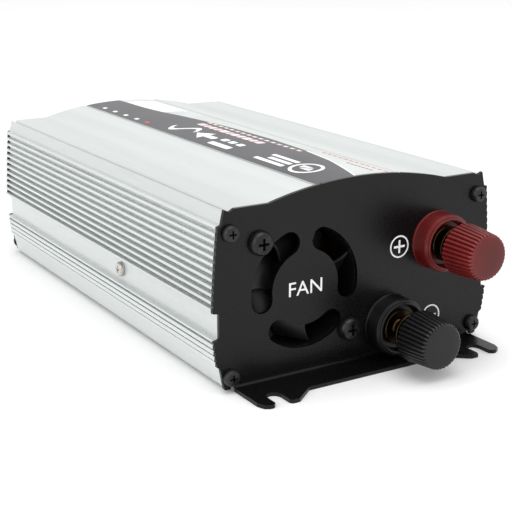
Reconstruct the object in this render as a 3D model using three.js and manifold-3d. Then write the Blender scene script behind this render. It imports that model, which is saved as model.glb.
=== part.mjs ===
// Power inverter: a finned aluminium case with a steel plate on each end.
// Millimetres, +Z up. The battery end faces -Y, the mains end faces +Y, and the flanges stand on z = 0.
import * as THREE from 'three';
import { mergeVertices } from 'three/addons/utils/BufferGeometryUtils.js';
import Module from 'manifold-3d';

const wasm = await Module();
wasm.setup();

// ---------------------------------------------------------------- driving dimensions

const fit = 0.3;                  // clearance between pieces that are assembled together
const running = 0.5;              // clearance around pieces that move
const seam = 0.1;                 // gap left where flat faces meet

const plateWidth = 103;           // case width over the end plates
const plateToPlate = 171.4;       // case length, outer face to outer face of the end plates
const plateThickness = 1.2;
const frontLip = 0.45;            // how far the front plate stands past the extrusions
const rearLip = -0.8;             // the rear plate stays inside their outline
const footLip = -0.1;             // least lip at the feet, where the lower screws pass
const plateClearance = 0.6;       // front plate's lower edge above the ground
const bendRadius = 0.8;           // inside radius of the bend from plate to flange
const plateNotch = 0.3;           // depth of the notches in the plates' edges
const stepDrop = 0.4;             // height of the small slope beside a fin zone

const fanSize = 40;
const fanDepth = 10;
const fanUnderside = 7.9;         // fan frame above the ground
const fanHeadroom = 7.23;         // fan frame up to the plate's shoulders
const crownRise = 4.37;           // arch above the shoulders
const shoulderReach = 18.9;       // flat shoulder, from the half width inwards
const lipReach = 7.3;             // where the shoulder starts, from the half width inwards
const plateNick = { width: 1.4, depth: 0.85 };   // nick between the tray's lip and the shoulder

const wallInset = 5.05;           // flank's inner face, from the fin tips
const floorThickness = 2.2;
const rootInset = { low: 2.1, high: 3.05 };      // fin roots, from the fin tips of the widest fin
const upperFins = { from: 25.1, belowShoulder: 4.8, tipLow: 0, tipHigh: 1.85, bow: 0.2, count: 11, fin: 0.9 };
const lowerFins = { from: 8.5, to: 16.5, tipLow: 1.4, tipHigh: 0.3, bow: 0.1,
  grooves: [[9.55, 9.95], [11.3, 11.8], [13.1, 13.7], [14.95, 15.85]] };
const footCorner = [[4.6, 0], [3.95, 0.25], [3.6, 0.9]];         // inset from the fin tips, above the underside
const footTop = { inset: 2.4, belowFins: 0.8 };

const trayLip = { back: 1, round: 0.45 };        // top lip of the flank, behind the root line
const wallStep = 1.6;                            // upper wall's face, set back for the cover's legs
const upperPort = { shelf: 1.5, reach: 2.6, crest: 0.8, waist: 1.9, waistDrop: 2.2, drop: 3.6 };
const lowerPort = 3;                             // width of the solid corner under the board

const coverThickness = 2;
const coverEdge = 0.6;
const coverLeg = { thickness: 1.8, tongueHeight: 1.5, tongueReach: 1.3, fillet: 1 };
const labelRecess = { halfWidth: 15.2, depth: 0.5, side: 0.8, sideDrop: 0.7, plateDip: 0.35 };
const labelBed = 0.05;                           // film's underside above the recess
const labelThickness = 0.25;

const plateScrew = { shank: 1.5, head: 2.65, headHeight: 2, length: 9,
  inset: 5.8, belowShoulder: 7.03, height: 4.6 };
const portRadius = 2.9;           // screw ports in the tray's corners
const sideScrew = { shank: 1.25, head: 2.5, headHeight: 1.7, length: 8, height: 20.95, fromFront: 65.9 };
const fanScrew = { shank: 2, head: 3.8, headHeight: 2.5, length: 9, spacing: 32 };

const screwCrown = { flat: 0.7, brow: 0.95, browRise: 0.55, recess: 0.55, slit: 0.13 };   // shares of the head
const screwTip = { length: 1, taper: 0.6 };

const flange = { inset: 6.8, rearInset: 9.5, reach: 11, hookReach: 16.5,
  arm: 4.6, slot: 4.8, slotDepth: 7.8, tooth: 3, slant: 6.9 };
const hookCorner = { along: 3.3, across: 2.5, round: 0.9, tooth: 0.5 };
const bendRelief = { half: 0.4, above: 0.8 };    // slits where the bend ends beside the plate's feet
const grille = { radius: 15.3, width: 7.2, first: 30, halfSpan: 38 };

const terminal = { collar: 9.4, collarDepth: 7.2, rimStep: 0.8, rimDepth: 0.9, dish: 7.2, dishDepth: 2.6 };
const stud = { radius: 3, inside: 12, outside: 17.5, seatRadius: 5.6, seatDepth: 1.2 };
const knob = { rear: 8.25, front: 7.3, length: 12, chamfer: 0.7, neck: 4.6, journal: 3.8,
  neckLength: 2.4, endWall: 2.6 };
const clampWasher = { radius: 6.2, thickness: 1.2 };
const bush = { radius: 7, thickness: 2 };
const spigotWall = 1.3;               // of the collar's sleeve through the plate
const edgeBreak = 0.5;                // chamfer at the rims of turned plastic and brass parts
const studNut = { acrossFlats: 10, thickness: 5 };
const redTerminal = { knobAt: 12.8, across: 17.5, above: 24.4 };     // place from the black terminal
const blackTerminal = { knobAt: 14.5, fromFan: 2.1, aboveFlange: 0.5 };
const fanToWall = 6.2;

const board = { thickness: 1.6, height: 8, fromFront: 16, fromRear: 8 };
const boardRail = { reach: 1.6, thickness: 1.2 };
const transistor = { width: 10, depth: 4.4, body: 15, lead: 0.8, leadPitch: 2.54, pitch: 12.5, perSide: 4 };
const clampBar = { width: 6, thickness: 3.5, length: 58, screwDepth: 3 };
const inputCapacitor = { radius: 5.2, height: 20, x: -14, apart: 14 };
const outputCapacitor = { radius: 8, height: 28, apart: 40 };
const transformer = { width: 36, depth: 26, height: 30, window: 7, limb: 6 };
const choke = { radius: 11, tube: 5 };
const chokeX = -14;
const fuse = { width: 12, depth: 4, height: 14, x: 30, apart: 8 };
const controlCard = { length: 38, height: 22, thickness: 1.6, x: 26 };
const leadRadius = 2;

const socket = { width: 42, height: 34, bezel: 2, depth: 20, inset: 2, x: -20, z: 29.1 };
const contact = { width: 5.2, height: 8.4, spread: 6.5, rise: 5, depth: 14,
  earthWidth: 7, earthHeight: 5, earthDrop: 8.4 };
const rocker = { width: 21, height: 15, bezel: 1.5, depth: 14, x: 26, z: 37.1,
  face: 9.4, long: 17.4, tilt: 11, pin: 1, pinDepth: 2.2, pinReach: 0.5 };
const led = { radius: 1.5, rim: 1.9, length: 8, x: 18, spread: 16, z: 19.1 };
const vent = { width: 2.5, length: 9, pitch: 5.5, count: 5, x: 26, z: 9.6 };
const fanHub = { radius: 10, blades: 7, blade: 1.2, tip: 18.2, sweep: 28, shaft: 1.5, motor: 1.5 };

// ---------------------------------------------------------------- derived dimensions

const half = plateWidth / 2 - frontLip;                 // extrusion half width over the fin tips
const shoulder = fanUnderside + fanSize + fanHeadroom;  // top of the plates' shoulders
const top = shoulder - frontLip;                        // top of the extrusions' shoulders
const underside = plateClearance + frontLip;
const floorTop = underside + floorThickness;
const innerWall = half - wallInset;
const upperTop = shoulder - upperFins.belowShoulder;
const caseFront = plateThickness + seam;                // extrusions, between the plates
const caseRear = plateToPlate - caseFront;
const screwX = plateWidth / 2 - plateScrew.inset;
const screwHigh = shoulder - plateScrew.belowShoulder;
const legTop = screwHigh + portRadius + fit;            // the cover's legs stand on the upper ports
const fanX = -(innerWall - fanToWall - fanSize / 2);
const fanZ = fanUnderside + fanSize / 2;
const blackX = fanX + fanSize / 2 + blackTerminal.fromFan + terminal.collar;
const blackZ = plateThickness + blackTerminal.aboveFlange + terminal.collar;
const redX = blackX + redTerminal.across;
const redZ = blackZ + redTerminal.above;
const boardTop = board.height + board.thickness;
const boardRear = plateToPlate - board.fromRear;
const foremost = blackTerminal.knobAt + knob.length;    // black knob's face, in front of the plate
const rearmost = plateToPlate + flange.hookReach;

// ---------------------------------------------------------------- solids

function toSolid(geometry) {
  const bare = geometry.clone();
  bare.deleteAttribute('normal');
  bare.deleteAttribute('uv');
  const merged = mergeVertices(bare, 1e-4);
  const corners = merged.index.array;
  const kept = [];
  for (let i = 0; i < corners.length; i += 3) {
    const [a, b, c] = [corners[i], corners[i + 1], corners[i + 2]];
    if (a !== b && b !== c && c !== a) kept.push(a, b, c);
  }
  const vertProperties = Float32Array.from(merged.attributes.position.array);
  return new wasm.Manifold(new wasm.Mesh({ numProp: 3, vertProperties, triVerts: Uint32Array.from(kept) }));
}

function toGeometry(solid) {
  const mesh = solid.getMesh();
  const geometry = new THREE.BufferGeometry();
  geometry.setAttribute('position', new THREE.BufferAttribute(mesh.vertProperties, 3));
  geometry.setIndex(new THREE.BufferAttribute(mesh.triVerts, 1));
  const flat = geometry.toNonIndexed();
  flat.computeVertexNormals();
  return flat;
}

function join(...geometries) {
  return toGeometry(geometries.map(toSolid).reduce((sum, next) => sum.add(next)));
}

function cut(body, ...tools) {
  return toGeometry(tools.map(toSolid).reduce((rest, tool) => rest.subtract(tool), toSolid(body)));
}

function outline(points) {
  return new THREE.Shape(points.map(([x, y]) => new THREE.Vector2(x, y)));
}

// A section drawn in x and z, swept along y.
function alongY(shape, from, to) {
  const geometry = new THREE.ExtrudeGeometry(shape, { depth: to - from, bevelEnabled: false });
  return geometry.rotateX(Math.PI / 2).translate(0, to, 0);
}

// A section drawn in x and y, swept along z.
function alongZ(shape, from, to) {
  const geometry = new THREE.ExtrudeGeometry(shape, { depth: to - from, bevelEnabled: false });
  return geometry.translate(0, 0, from);
}

// A section drawn in y and z, swept along x.
function alongX(shape, from, to) {
  const geometry = new THREE.ExtrudeGeometry(shape, { depth: to - from, bevelEnabled: false });
  const turn = new THREE.Matrix4().makeBasis(
    new THREE.Vector3(0, 1, 0), new THREE.Vector3(0, 0, 1), new THREE.Vector3(1, 0, 0));
  return geometry.applyMatrix4(turn).translate(from, 0, 0);
}

function box(x0, x1, y0, y1, z0, z1) {
  return new THREE.BoxGeometry(x1 - x0, y1 - y0, z1 - z0)
    .translate((x0 + x1) / 2, (y0 + y1) / 2, (z0 + z1) / 2);
}

function rodY(radius, from, to, x = 0, z = 0, sides = 20) {
  return new THREE.CylinderGeometry(radius, radius, to - from, sides).translate(x, (from + to) / 2, z);
}

function rodX(radius, from, to, y = 0, z = 0, sides = 14) {
  return new THREE.CylinderGeometry(radius, radius, to - from, sides)
    .rotateZ(-Math.PI / 2).translate((from + to) / 2, y, z);
}

function rodZ(radius, from, to, x = 0, y = 0, sides = 14) {
  return new THREE.CylinderGeometry(radius, radius, to - from, sides)
    .rotateX(Math.PI / 2).translate(x, y, (from + to) / 2);
}

// A profile of [radius, y] points turned about the y axis.
function turned(points, sides = 48) {
  return new THREE.LatheGeometry(points.map(([r, y]) => new THREE.Vector2(r, y)), sides);
}

function mirrored(points) {
  return [...points, ...points.map(([x, z]) => [-x, z]).reverse()];
}

// ---------------------------------------------------------------- case sections

// Inset from the fin tips of one edge of a fin zone, at share s of its height.
function tipInset(zone, s) {
  return zone.tipLow + (zone.tipHigh - zone.tipLow) * s - 4 * zone.bow * s * (1 - s);
}

function zoneEnds(zone) {
  return [zone.from, zone.to ?? upperTop];
}

function rootAt(z) {
  const share = (z - upperFins.from) / (upperTop - upperFins.from);
  return half - rootInset.low - (rootInset.high - rootInset.low) * Math.max(0, share);
}

// The grooves of a zone, as its list gives them or shared out evenly between fins of one thickness.
function groovesOf(zone) {
  if (zone.grooves) return zone.grooves;
  const [from, to] = zoneEnds(zone);
  const pitch = (to - from - zone.fin) / zone.count;
  return Array.from({ length: zone.count }, (_, i) => [from + i * pitch + zone.fin, from + (i + 1) * pitch]);
}

// Each fin of a zone as its lower edge, upper edge and tip, from the lowest to the highest.
function finEdges(zone) {
  const [from, to] = zoneEnds(zone);
  const lows = [from, ...groovesOf(zone).map(([, end]) => end)];
  const highs = [...groovesOf(zone).map(([start]) => start), to];
  return lows.map((low, i) => {
    const middle = (low + highs[i]) / 2;
    return { low, high: highs[i], tip: half - tipInset(zone, (middle - from) / (to - from)) };
  });
}

function finPoints(zone) {
  return finEdges(zone).flatMap(({ low, high, tip }) =>
    [[rootAt(low), low], [tip, low], [tip, high], [rootAt(high), high]]);
}

// A plate's edge beside a fin zone: a shallow notch at each groove.
function plateZonePoints(zone, lip) {
  const edges = finEdges(zone);
  return edges.flatMap(({ low, high, tip }, i) => {
    const face = tip + lip;
    const next = edges[i + 1];
    const notch = next ? [[face - plateNotch, (high + next.low) / 2]] : [];
    return [[face, low], [face, high], ...notch];
  });
}

// The flank's lower run, up to the lowest fin: underside corner and leaning foot.
function footPoints(grow) {
  const foot = half + grow;
  return [
    ...footCorner.map(([inset, above]) => [foot - inset, underside - grow + above]),
    [foot - footTop.inset, lowerFins.from - footTop.belowFins],
  ];
}

const bandX = half - rootInset.low;
const lipX = half - rootInset.high;
const noseX = lipX - trayLip.back;            // outer edge of the tray's top lip

// The lid's upper surface at x.
const kinkX = plateWidth / 2 - shoulderReach;
const archRadius = (kinkX ** 2 + crownRise ** 2) / (2 * crownRise);
function archHeight(x) {
  return Math.abs(x) >= kinkX ? 0 : crownRise - archRadius + Math.sqrt(archRadius ** 2 - x * x);
}

function archPoints(fromX, toX, rise, steps) {
  return Array.from({ length: steps + 1 }, (_, i) => {
    const x = fromX + ((toX - fromX) * i) / steps;
    return [x, rise + archHeight(x)];
  });
}

// An end plate's outline, which stands past the extrusions by the lip.
function plateOutline(lip) {
  const edge = plateWidth / 2 - lipReach;
  const crest = top + lip;
  const { halfWidth, side, plateDip } = labelRecess;
  return outline(mirrored([
    ...footPoints(Math.max(lip, footLip)),
    ...plateZonePoints(lowerFins, lip),
    [bandX + lip, lowerFins.to + stepDrop], [bandX + lip, upperFins.from - stepDrop],
    ...plateZonePoints(upperFins, lip),
    [lipX + lip, upperTop + stepDrop],
    [noseX + lip, crest],
    [edge + plateNick.width, crest - plateNick.depth],
    [edge, crest],
    ...archPoints(kinkX, halfWidth, crest, 6),
    [halfWidth - side / 2, crest + archHeight(halfWidth) - plateDip],
    ...archPoints(halfWidth - side, 0, crest, 5),
  ]).slice(0, -1));
}

function traySection() {
  const wallTop = legTop;
  const grooveTop = wallTop + coverLeg.tongueHeight + 2 * fit;
  const upperFace = innerWall + coverLeg.tongueReach - wallStep;     // wall's face beside the cover's legs
  const right = [
    ...footPoints(0),
    ...finPoints(lowerFins),
    [bandX, lowerFins.to + stepDrop], [bandX, upperFins.from - stepDrop],
    ...finPoints(upperFins),
    [lipX, upperTop + stepDrop],
    [noseX, top],
    [upperFace + trayLip.round, top - trayLip.round],
    [upperFace, top - 2 * trayLip.round],
    [upperFace, grooveTop],
    [upperFace + coverLeg.tongueReach, grooveTop],
    [upperFace + coverLeg.tongueReach, wallTop - fit],
    [innerWall - upperPort.shelf, wallTop - fit],
    [innerWall - upperPort.reach, screwHigh + upperPort.crest],
    [innerWall - upperPort.waist, screwHigh - upperPort.waistDrop],
    [innerWall, screwHigh - upperPort.drop],
    [innerWall, boardTop + fit + boardRail.thickness],
    [innerWall - boardRail.reach, boardTop + fit + boardRail.thickness],
    [innerWall - boardRail.reach, boardTop + fit],
    [innerWall, boardTop + fit],
    [innerWall, board.height - fit],
    [innerWall - lowerPort, board.height - fit],
    [innerWall - lowerPort, floorTop],
  ];
  return outline(mirrored(right));
}

function lowerTray() {
  const bores = [];
  for (const side of [-1, 1]) {
    for (const z of [plateScrew.height, screwHigh]) {
      for (const [from, to] of [[caseFront - 1, caseFront + 10], [caseRear - 10, caseRear + 1]]) {
        bores.push(rodY(plateScrew.shank + fit, from, to, side * screwX, z, 12));
      }
    }
    const outer = side * (half + 1);
    const inner = side * (innerWall - 1);
    bores.push(rodX(sideScrew.shank + fit, Math.min(outer, inner), Math.max(outer, inner),
      sideScrew.fromFront, sideScrew.height));
  }
  return cut(alongY(traySection(), caseFront, caseRear), ...bores);
}

// ---------------------------------------------------------------- top cover and label

const legOuter = innerWall + coverLeg.tongueReach - wallStep - fit;
const legInner = legOuter - coverLeg.thickness;

function coverSection() {
  const underneath = top - coverThickness;
  const { halfWidth: recess, side, sideDrop, depth } = labelRecess;
  const right = [
    [legInner, legTop],
    [legOuter + coverLeg.tongueReach - fit, legTop],
    [legOuter + coverLeg.tongueReach - fit, legTop + coverLeg.tongueHeight],
    [legOuter, legTop + coverLeg.tongueHeight],
    [legOuter, top - coverEdge],
    [legOuter - coverEdge, top],
    ...archPoints(kinkX, recess + side, top, 5),
    [recess + side / 2, top + archHeight(recess) - sideDrop],
    ...archPoints(recess, 0, top - depth, 6),
  ];
  const under = [
    ...archPoints(0, kinkX, underneath, 8).slice(1),
    [legInner - coverLeg.fillet, underneath],
    [legInner, underneath - coverLeg.fillet],
  ];
  const whole = [...right, ...right.slice(0, -1).reverse().map(([x, z]) => [-x, z]),
    ...under.slice().reverse().map(([x, z]) => [-x, z]), [0, underneath + crownRise], ...under];
  return outline(whole);
}

function topCover() {
  return alongY(coverSection(), caseFront, caseRear);
}

function topLabel() {
  const edge = labelRecess.halfWidth - fit;
  const seat = top - labelRecess.depth + labelBed;
  const upper = archPoints(edge, -edge, seat + labelThickness, 12);
  const lower = archPoints(-edge, edge, seat, 12);
  return alongY(outline([...lower, ...upper]), caseFront + fit, caseRear - fit);
}

// ---------------------------------------------------------------- end plates

// The flange seen from above, with y growing outwards from the plate.
function flangeOutline(inset) {
  const edge = plateWidth / 2 - inset;
  const slotOuter = edge - flange.arm;
  const slotInner = slotOuter - flange.slot;
  const slotCentre = (slotOuter + slotInner) / 2;
  const bottom = flange.hookReach - flange.slotDepth + flange.slot / 2;
  const roundEnd = Array.from({ length: 7 }, (_, i) => {
    const angle = (Math.PI * i) / 6;
    return [slotCentre + (flange.slot / 2) * Math.cos(angle), bottom - (flange.slot / 2) * Math.sin(angle)];
  });
  const right = [
    [edge, -plateThickness / 2],
    [edge, flange.hookReach - hookCorner.along],
    [edge - hookCorner.round, flange.hookReach - hookCorner.round],
    [edge - hookCorner.across, flange.hookReach],
    [slotOuter + hookCorner.round, flange.hookReach],
    [slotOuter, flange.hookReach - hookCorner.round],
    ...roundEnd,
    [slotInner, flange.hookReach - 2 * hookCorner.tooth],
    [slotInner - hookCorner.tooth, flange.hookReach],
    [slotInner - flange.tooth, flange.hookReach],
    [slotInner - flange.tooth - flange.slant, flange.reach],
  ];
  return outline(mirrored(right));
}

// The bend from plate to flange, seen along the case, with its outside at y = plateThickness, z = 0.
function bendSection() {
  const outer = bendRadius + plateThickness;
  const centre = [-bendRadius, outer];
  const arc = (radius, from, to) => Array.from({ length: 7 }, (_, i) => {
    const angle = from + ((to - from) * i) / 6;
    return [centre[0] + radius * Math.cos(angle), centre[1] + radius * Math.sin(angle)];
  });
  return outline([...arc(outer, -Math.PI / 2, 0), ...arc(bendRadius, 0, -Math.PI / 2)]);
}

// A plate with its bent flange; y = 0 is the outer face and -y is outwards.
function plateBlank(lip, inset) {
  const upright = alongY(plateOutline(lip), 0, plateThickness);
  const edge = plateWidth / 2 - inset;
  const bendTop = bendRadius + plateThickness;
  const foot = alongZ(flangeOutline(inset), 0, plateThickness).rotateZ(Math.PI);
  const behind = box(-edge - 1, edge + 1, -bendRadius, plateThickness + 1, -1, bendTop);
  const slits = [-1, 1].map((side) => box(side * edge - bendRelief.half, side * edge + bendRelief.half,
    -bendRadius, plateThickness + 1, plateThickness - 1, bendTop + bendRelief.above));
  const trimmed = cut(join(upright, foot), behind);
  return cut(join(trimmed, alongX(bendSection(), -edge, edge)), ...slits);
}

function cornerHoles() {
  return [-1, 1].flatMap((side) => [plateScrew.height, screwHigh].map((z) =>
    rodY(plateScrew.shank + fit, -1, plateThickness + 1, side * screwX, z, 14)));
}

function grilleSlot(middle) {
  const polar = (radius, degrees) => {
    const angle = THREE.MathUtils.degToRad(degrees);
    return [fanX + radius * Math.cos(angle), fanZ + radius * Math.sin(angle)];
  };
  const [from, to] = [middle - grille.halfSpan, middle + grille.halfSpan];
  const sweep = (radius, start, end) => Array.from({ length: 13 }, (_, i) =>
    polar(radius, start + ((end - start) * i) / 12));
  const cap = (degrees, start) => Array.from({ length: 7 }, (_, i) => {
    const [x, z] = polar(grille.radius, degrees);
    const angle = THREE.MathUtils.degToRad(start + 22.5 * (i + 1));
    return [x + (grille.width / 2) * Math.cos(angle), z + (grille.width / 2) * Math.sin(angle)];
  });
  return alongY(outline([
    ...sweep(grille.radius + grille.width / 2, from, to), ...cap(to, to),
    ...sweep(grille.radius - grille.width / 2, to, from), ...cap(from, from + 180),
  ]), -1, plateThickness + 1);
}

const fanHoles = [[-1, 1], [1, -1]].map(([sx, sz]) =>
  [fanX + (sx * fanScrew.spacing) / 2, fanZ + (sz * fanScrew.spacing) / 2]);

function frontEndPlate() {
  const slots = [0, 120, 240].map((turn) => grilleSlot(grille.first + turn));
  const screws = fanHoles.map(([x, z]) => rodY(fanScrew.shank + fit, -1, plateThickness + 1, x, z));
  const studs = [[redX, redZ], [blackX, blackZ]].map(([x, z]) =>
    rodY(spigotRadius + fit, -1, plateThickness + 1, x, z, 24));
  return cut(plateBlank(frontLip, flange.inset), ...cornerHoles(), ...slots, ...screws, ...studs);
}

// The hole that a flanged fitting snaps into, smaller than its bezel by the inset all round.
function panelHole({ x, z, width, height }, inset) {
  const [halfWidth, halfHeight] = [width / 2 - inset + fit, height / 2 - inset + fit];
  return box(x - halfWidth, x + halfWidth, -1, plateThickness + 1, z - halfHeight, z + halfHeight);
}

function rearEndPlate() {
  const holes = [
    panelHole(socket, socket.inset),
    panelHole(rocker, rocker.bezel),
    ...ledPlaces.map((x) => rodY(led.radius + fit, -1, plateThickness + 1, x, led.z, 16)),
  ];
  for (let i = 0; i < vent.count; i += 1) {
    const x = vent.x + (i - (vent.count - 1) / 2) * vent.pitch;
    holes.push(box(x - vent.width / 2, x + vent.width / 2, -1, plateThickness + 1,
      vent.z - vent.length / 2, vent.z + vent.length / 2));
  }
  return cut(plateBlank(rearLip, flange.rearInset), ...cornerHoles(), ...holes);
}

// ---------------------------------------------------------------- screws

// A pan-head cross-recess screw along y: its head sits on y = 0 and stands towards -y.
function panScrew({ shank, head, headHeight, length }) {
  const { flat, brow, browRise, recess, slit } = screwCrown;
  const screw = turned([
    [0, -headHeight], [head * flat, -headHeight], [head * brow, -headHeight * browRise], [head, 0],
    [shank, 0], [shank, length - screwTip.length], [shank - screwTip.taper, length], [0, length],
  ], 14);
  const [wing, halfSlit, floor] = [head * recess, head * slit, -headHeight * (1 - recess)];
  return cut(screw,
    box(-wing, wing, -headHeight - 1, floor, -halfSlit, halfSlit),
    box(-halfSlit, halfSlit, -headHeight - 1, floor, -wing, wing));
}

// ---------------------------------------------------------------- terminals

const spigotRadius = stud.radius + fit + spigotWall;
const collarFront = -terminal.collarDepth;
const dishFloor = collarFront + terminal.dishDepth;
const bushFront = plateThickness + fit;
const nutFront = bushFront + bush.thickness + fit;

function terminalCollar() {
  const bore = stud.radius + fit;
  const rim = terminal.collar - terminal.rimStep;
  const step = collarFront + terminal.rimDepth;
  return turned([
    [bore, dishFloor], [terminal.dish - edgeBreak, dishFloor], [terminal.dish, dishFloor - edgeBreak],
    [terminal.dish + edgeBreak, collarFront], [rim - edgeBreak, collarFront], [rim, collarFront + edgeBreak],
    [rim, step], [terminal.collar - edgeBreak, step], [terminal.collar, step + edgeBreak],
    [terminal.collar, -seam], [spigotRadius, -seam], [spigotRadius, plateThickness], [bore, plateThickness],
    [bore, dishFloor],
  ], 28);
}

function terminalStud() {
  const seat = dishFloor - seam;
  return turned([
    [0, -stud.outside], [stud.radius - edgeBreak, -stud.outside], [stud.radius, -stud.outside + edgeBreak],
    [stud.radius, seat - stud.seatDepth], [stud.seatRadius, seat - stud.seatDepth], [stud.seatRadius, seat],
    [stud.radius, seat], [stud.radius, stud.inside - edgeBreak], [stud.radius - edgeBreak, stud.inside],
    [0, stud.inside],
  ], 20);
}

function terminalBush() {
  return turned([
    [stud.radius + fit, bushFront], [bush.radius, bushFront], [bush.radius, bushFront + bush.thickness],
    [stud.radius + fit, bushFront + bush.thickness], [stud.radius + fit, bushFront],
  ], 20);
}

function terminalNut() {
  const hex = rodY(studNut.acrossFlats / Math.sqrt(3), nutFront, nutFront + studNut.thickness, 0, 0, 6);
  return cut(hex, rodY(stud.radius + fit, nutFront - 1, nutFront + studNut.thickness + 1));
}

// The captive washer under a knob; y = 0 is the knob's rear face.
function terminalClampWasher() {
  const bore = knob.journal + fit;
  const rear = knob.neckLength + 0.2 + clampWasher.thickness;
  return turned([
    [bore, rear - clampWasher.thickness], [clampWasher.radius, rear - clampWasher.thickness],
    [clampWasher.radius, rear - 0.3], [clampWasher.radius - 0.3, rear], [bore, rear],
    [bore, rear - clampWasher.thickness],
  ], 24);
}

// The knob's smooth body with its neck and blind bore; y = 0 is its rear face.
function terminalKnob() {
  const bore = stud.radius + running;
  const neckEnd = knob.neckLength + clampWasher.thickness;
  return turned([
    [0, -knob.length], [knob.front - knob.chamfer, -knob.length], [knob.front, -knob.length + knob.chamfer],
    [knob.rear, -edgeBreak], [knob.rear - edgeBreak, 0], [knob.neck, 0], [knob.neck, knob.neckLength],
    [knob.journal, knob.neckLength], [knob.journal, neckEnd], [bore, neckEnd],
    [bore, -knob.length + knob.endWall], [0, -knob.length + knob.endWall],
  ], 28);
}

// ---------------------------------------------------------------- fan

function fanFrame() {
  const front = plateThickness + fit;
  const rear = front + fanDepth;
  const r = fanSize / 2;
  const body = new THREE.BoxGeometry(fanSize, fanDepth, fanSize).translate(0, (front + rear) / 2, 0);
  const bore = rodY(r - 1, front - 1, rear + 1, 0, 0, 36);
  const reach = fanScrew.spacing / 2;
  const corners = [-1, 1].flatMap((sx) => [-1, 1].map((sz) =>
    rodY(fanScrew.shank + fit, front - 1, rear + 1, sx * reach, sz * reach, 12)));
  const motor = rodY(fanHub.radius, rear - fanHub.motor, rear, 0, 0, 24);
  const bearing = rodY(fanHub.shaft + fit, rear - fanHub.motor - 1, rear + 1, 0, 0, 16);
  const struts = [20, 110, 200, 290].map((turn) =>
    box(0, r - 0.5, rear - fanHub.motor, rear, -1, 1).rotateY(THREE.MathUtils.degToRad(turn)));
  return cut(join(cut(body, bore, ...corners), motor, ...struts), bearing);
}

function fanRotor() {
  const front = plateThickness + fit + 1;
  const frameRear = plateThickness + fit + fanDepth;
  const rear = frameRear - fanHub.motor - running;
  const hub = turned([
    [0, front], [fanHub.radius - 1, front], [fanHub.radius, front + 0.8], [fanHub.radius, rear],
    [fanHub.shaft, rear], [fanHub.shaft, frameRear - fit], [0, frameRear - fit],
  ], 28);
  const pitch = THREE.MathUtils.degToRad(fanHub.sweep);
  const depth = (rear - front - 1) / Math.cos(pitch) - fanHub.blade * Math.tan(pitch);
  const blades = Array.from({ length: fanHub.blades }, (_, i) =>
    new THREE.BoxGeometry(fanHub.tip - fanHub.radius + 2, depth, fanHub.blade)
      .rotateX(pitch).translate((fanHub.tip + fanHub.radius - 2) / 2, (front + rear) / 2, 0)
      .rotateY((2 * Math.PI * i) / fanHub.blades));
  return join(hub, ...blades);
}

// ---------------------------------------------------------------- circuit board and what stands on it

const boardHalf = innerWall - fit;
const seatZ = boardTop + 0.1;                         // underside of the components
const tallFrom = plateThickness + fanDepth + 6;
const tallTo = plateToPlate - plateThickness - socket.depth - 2;

// Centres of rows of the given depths, shared out evenly between the fan and the socket.
function rowCentres(depths) {
  const gap = (tallTo - tallFrom - depths.reduce((sum, d) => sum + d, 0)) / (depths.length + 1);
  let at = tallFrom;
  return depths.map((depth) => {
    at += gap + depth;
    return at - depth / 2;
  });
}

const [inputRow, firstTransformerRow, secondTransformerRow, chokeRow, outputRow] = rowCentres([
  2 * inputCapacitor.radius, transformer.depth, transformer.depth, 2 * choke.tube, 2 * outputCapacitor.radius]);

function circuitBoard() {
  return box(-boardHalf, boardHalf, board.fromFront, boardRear, board.height, boardTop);
}

// Ferrite core with its winding: limbs on both sides, a window at each end of the coil.
function transformerBody() {
  const { width, depth, height, window, limb } = transformer;
  const core = box(-width / 2, width / 2, -depth / 2 + 5, depth / 2 - 5, 0, height);
  const windows = [-1, 1].map((side) => box(side * (width / 2 - limb) - (side > 0 ? window : 0),
    side * (width / 2 - limb) + (side > 0 ? 0 : window), -depth, depth, limb, height - limb));
  const coil = box(-width / 2 + limb + 1, width / 2 - limb - 1, -depth / 2, depth / 2,
    limb + 0.5, height - limb - 0.5);
  return join(cut(core, ...windows), coil);
}

function capacitorBody({ radius, height }) {
  return turned([
    [0, 0], [radius, 0], [radius, 2.2], [radius - 0.5, 2.8], [radius, 3.4],
    [radius, height - 0.8], [radius - 0.8, height], [0, height],
  ], 20).rotateX(Math.PI / 2);
}

function chokeBody() {
  const ring = new THREE.TorusGeometry(choke.radius, choke.tube, 10, 20).rotateX(Math.PI / 2);
  return ring.translate(0, 0, choke.radius + choke.tube);
}

function fuseBody() {
  const { width, depth, height } = fuse;
  const step = depth * 0.3;
  return join(
    box(-width / 2, width / 2, -depth / 2, depth / 2, 0, height * 0.6),
    box(-width / 2 + 1, width / 2 - 1, -depth / 2 + step / 2, depth / 2 - step / 2, height * 0.5, height));
}

// One transistor: its back is at x = 0 and its legs reach down to the board.
function transistorBody(legLength) {
  const { width, depth, body, lead, leadPitch } = transistor;
  const legs = [-1, 0, 1].map((i) => box(depth / 2 - lead / 2, depth / 2 + lead / 2,
    i * leadPitch - lead / 2, i * leadPitch + lead / 2, -legLength, 1));
  return join(box(0, depth, -width / 2, width / 2, 0, body), ...legs);
}

function clampBarBody() {
  const { width, thickness, length } = clampBar;
  const bar = box(0, thickness, -length / 2, length / 2, -width / 2, width / 2);
  return cut(bar, rodX(sideScrew.shank + fit, -1, clampBar.screwDepth));
}

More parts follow.
